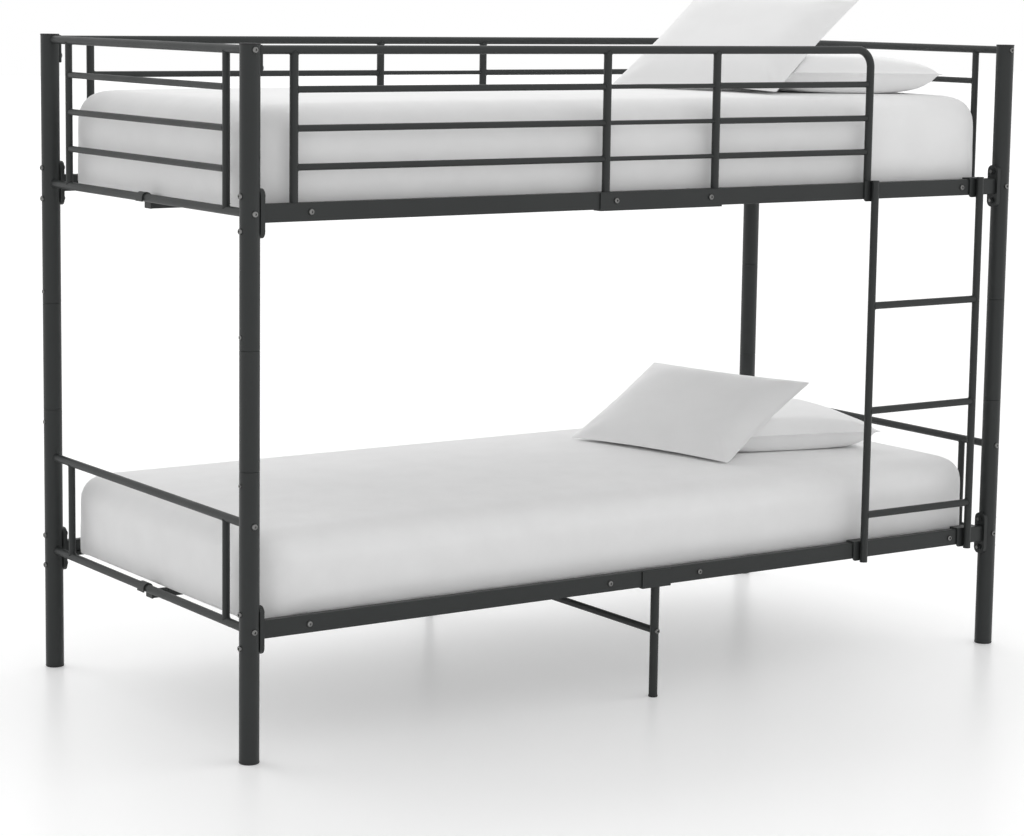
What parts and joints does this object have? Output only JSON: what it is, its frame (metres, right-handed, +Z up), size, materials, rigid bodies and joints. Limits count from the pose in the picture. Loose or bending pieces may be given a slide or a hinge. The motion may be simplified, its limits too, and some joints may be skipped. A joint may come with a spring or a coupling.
{
  "type": "bunk bed",
  "caption": "Tubular steel bunk bed with slatted bases, guard rails round the upper bunk, a hook-on ladder, mattresses and pillows.",
  "frame": {"origin": "on the floor under the middle of the bed's outer box", "axes": "+X from the foot end to the head end along the bed, +Y from the ladder side to the rear, +Z up"},
  "size_m": [2.1004, 1.0017, 1.5649],
  "materials": {
    "frame_coat": "satin",
    "bolt_zinc": "satin",
    "cap_plastic": "matte",
    "mattress_cover": "matte",
    "pillow_cover": "matte"
  },
  "bodies": {
    "frame": {"foot_front_lower_post": "frame_coat", "foot_front_middle_post": "frame_coat", "foot_front_upper_post": "frame_coat", "foot_rear_lower_post": "frame_coat", "foot_rear_middle_post": "frame_coat", "foot_rear_upper_post": "frame_coat", "head_front_lower_post": "frame_coat", "head_front_middle_post": "frame_coat", "head_front_upper_post": "frame_coat", "head_rear_lower_post": "frame_coat", "head_rear_middle_post": "frame_coat", "head_rear_upper_post": "frame_coat", "foot_lower_panel": "frame_coat", "foot_upper_panel": "frame_coat", "head_lower_panel": "frame_coat", "head_upper_panel": "frame_coat", "lower_front_beam_left": "frame_coat", "lower_front_beam_right": "frame_coat", "lower_rear_beam_left": "frame_coat", "lower_rear_beam_right": "frame_coat", "upper_front_beam_left": "frame_coat", "upper_front_beam_right": "frame_coat", "upper_rear_beam_left": "frame_coat", "upper_rear_beam_right": "frame_coat", "lower_beam_brackets": "frame_coat", "upper_beam_brackets": "frame_coat", "upper_front_beam_joiner": "frame_coat", "upper_rear_beam_joiner": "frame_coat", "lower_front_beam_sleeve": "frame_coat", "lower_rear_beam_sleeve": "frame_coat", "lower_centre_beam": "frame_coat", "upper_centre_beam": "frame_coat", "lower_slats": "frame_coat", "upper_slats": "frame_coat", "front_guard_left": "frame_coat", "front_guard_right": "frame_coat", "front_guard_link_rails": "frame_coat", "rear_guard_left": "frame_coat", "rear_guard_right": "frame_coat", "rear_guard_link_rails": "frame_coat", "front_centre_leg": "frame_coat", "rear_centre_leg": "frame_coat", "leg_cross_bar": "frame_coat", "panel_bolts": "bolt_zinc", "bracket_bolts": "bolt_zinc", "beam_bolts": "bolt_zinc", "guard_bolts": "bolt_zinc", "leg_bolts": "bolt_zinc", "section_screws": "bolt_zinc", "post_feet": "cap_plastic", "post_top_caps": "cap_plastic", "leg_feet": "cap_plastic"},
    "ladder": {"ladder": "frame_coat", "ladder_end_plugs": "cap_plastic"},
    "lower_mattress": {"lower_mattress": "mattress_cover"},
    "lower_rear_pillow": {"lower_rear_pillow": "pillow_cover"},
    "lower_front_pillow": {"lower_front_pillow": "pillow_cover"},
    "upper_mattress": {"upper_mattress": "mattress_cover"},
    "upper_rear_pillow": {"upper_rear_pillow": "pillow_cover"},
    "upper_front_pillow": {"upper_front_pillow": "pillow_cover"}
  },
  "joints": [
    {"name": "ladder_lift_off", "type": "slide", "parent": "frame", "child": "ladder", "axis": [0, 0, 1], "range_m": [0, 0.05]},
    {"name": "lower_mattress_lift", "type": "slide", "parent": "frame", "child": "lower_mattress", "axis": [0, 0, 1], "range_m": [0, 0.15]},
    {"name": "lower_rear_pillow_lift", "type": "slide", "parent": "lower_mattress", "child": "lower_rear_pillow", "axis": [0, 0, 1], "range_m": [0, 0.1]},
    {"name": "lower_front_pillow_lift", "type": "slide", "parent": "lower_rear_pillow", "child": "lower_front_pillow", "axis": [0, 0, 1], "range_m": [0, 0.1]},
    {"name": "upper_mattress_lift", "type": "slide", "parent": "frame", "child": "upper_mattress", "axis": [0, 0, 1], "range_m": [0, 0.25]},
    {"name": "upper_rear_pillow_lift", "type": "slide", "parent": "upper_mattress", "child": "upper_rear_pillow", "axis": [0, 0, 1], "range_m": [0, 0.15]},
    {"name": "upper_front_pillow_lift", "type": "slide", "parent": "upper_rear_pillow", "child": "upper_front_pillow", "axis": [0, 0, 1], "range_m": [0, 0.15]}
  ]
}
